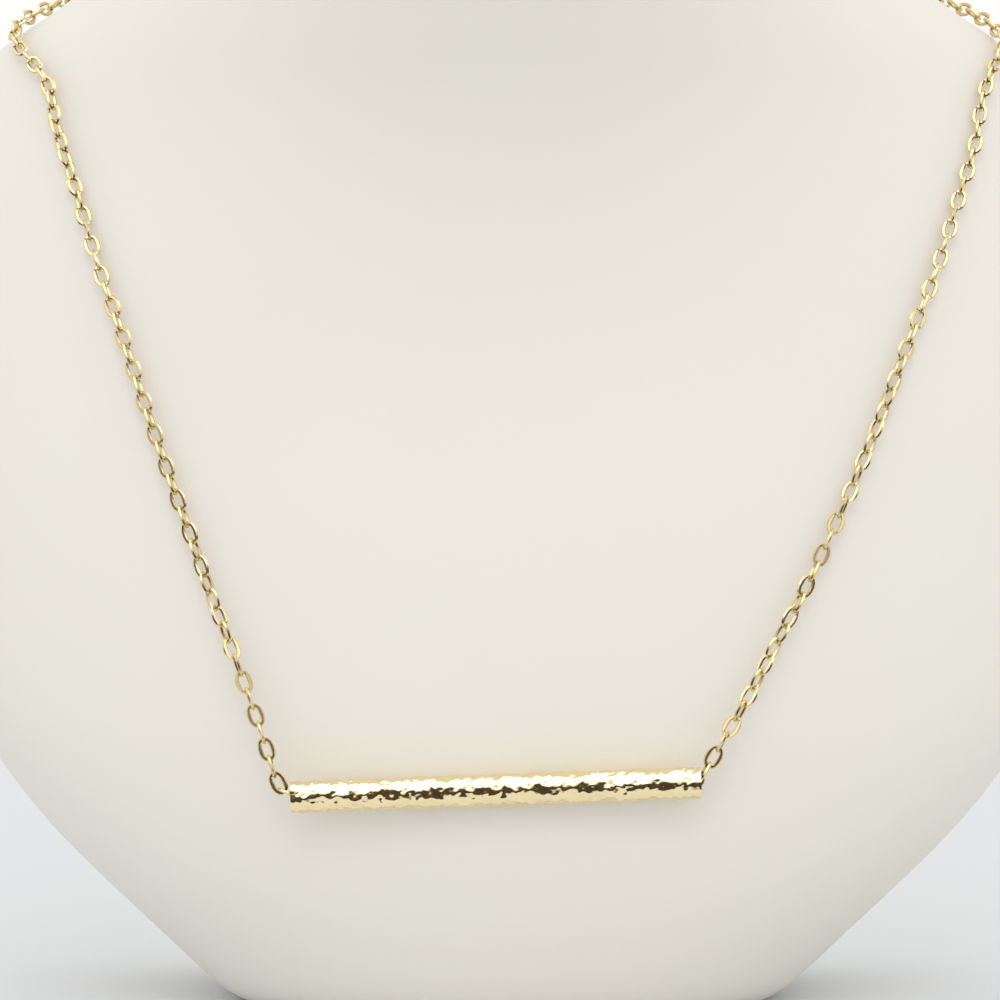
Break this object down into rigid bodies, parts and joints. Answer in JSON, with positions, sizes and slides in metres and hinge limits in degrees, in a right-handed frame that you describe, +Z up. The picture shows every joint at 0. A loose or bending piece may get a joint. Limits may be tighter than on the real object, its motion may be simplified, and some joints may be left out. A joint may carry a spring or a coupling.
{
  "type": "bar pendant necklace on display bust",
  "caption": "Hammered hollow bar threaded on a flat oval cable chain with a ring clasp, worn by a plain leatherette neck bust that stands on a flat foot.",
  "frame": {"origin": "on the bust's foot, on the surface that it stands on, at the middle of its width", "axes": "+Z up, -Y to the front of the bust, +X to the viewer's right"},
  "size_m": [0.154, 0.0806, 0.2],
  "materials": {
    "leatherette": "soft satin, fine grain",
    "hammered_gold_plate": "polished gold plate, hammered",
    "gold_plate": "polished gold plate"
  },
  "bodies": {
    "root": {"display_bust": "leatherette", "bar_tube": "hammered_gold_plate", "chain_left": "gold_plate", "chain_right": "gold_plate", "clasp": "gold_plate"}
  },
  "joints": []
}
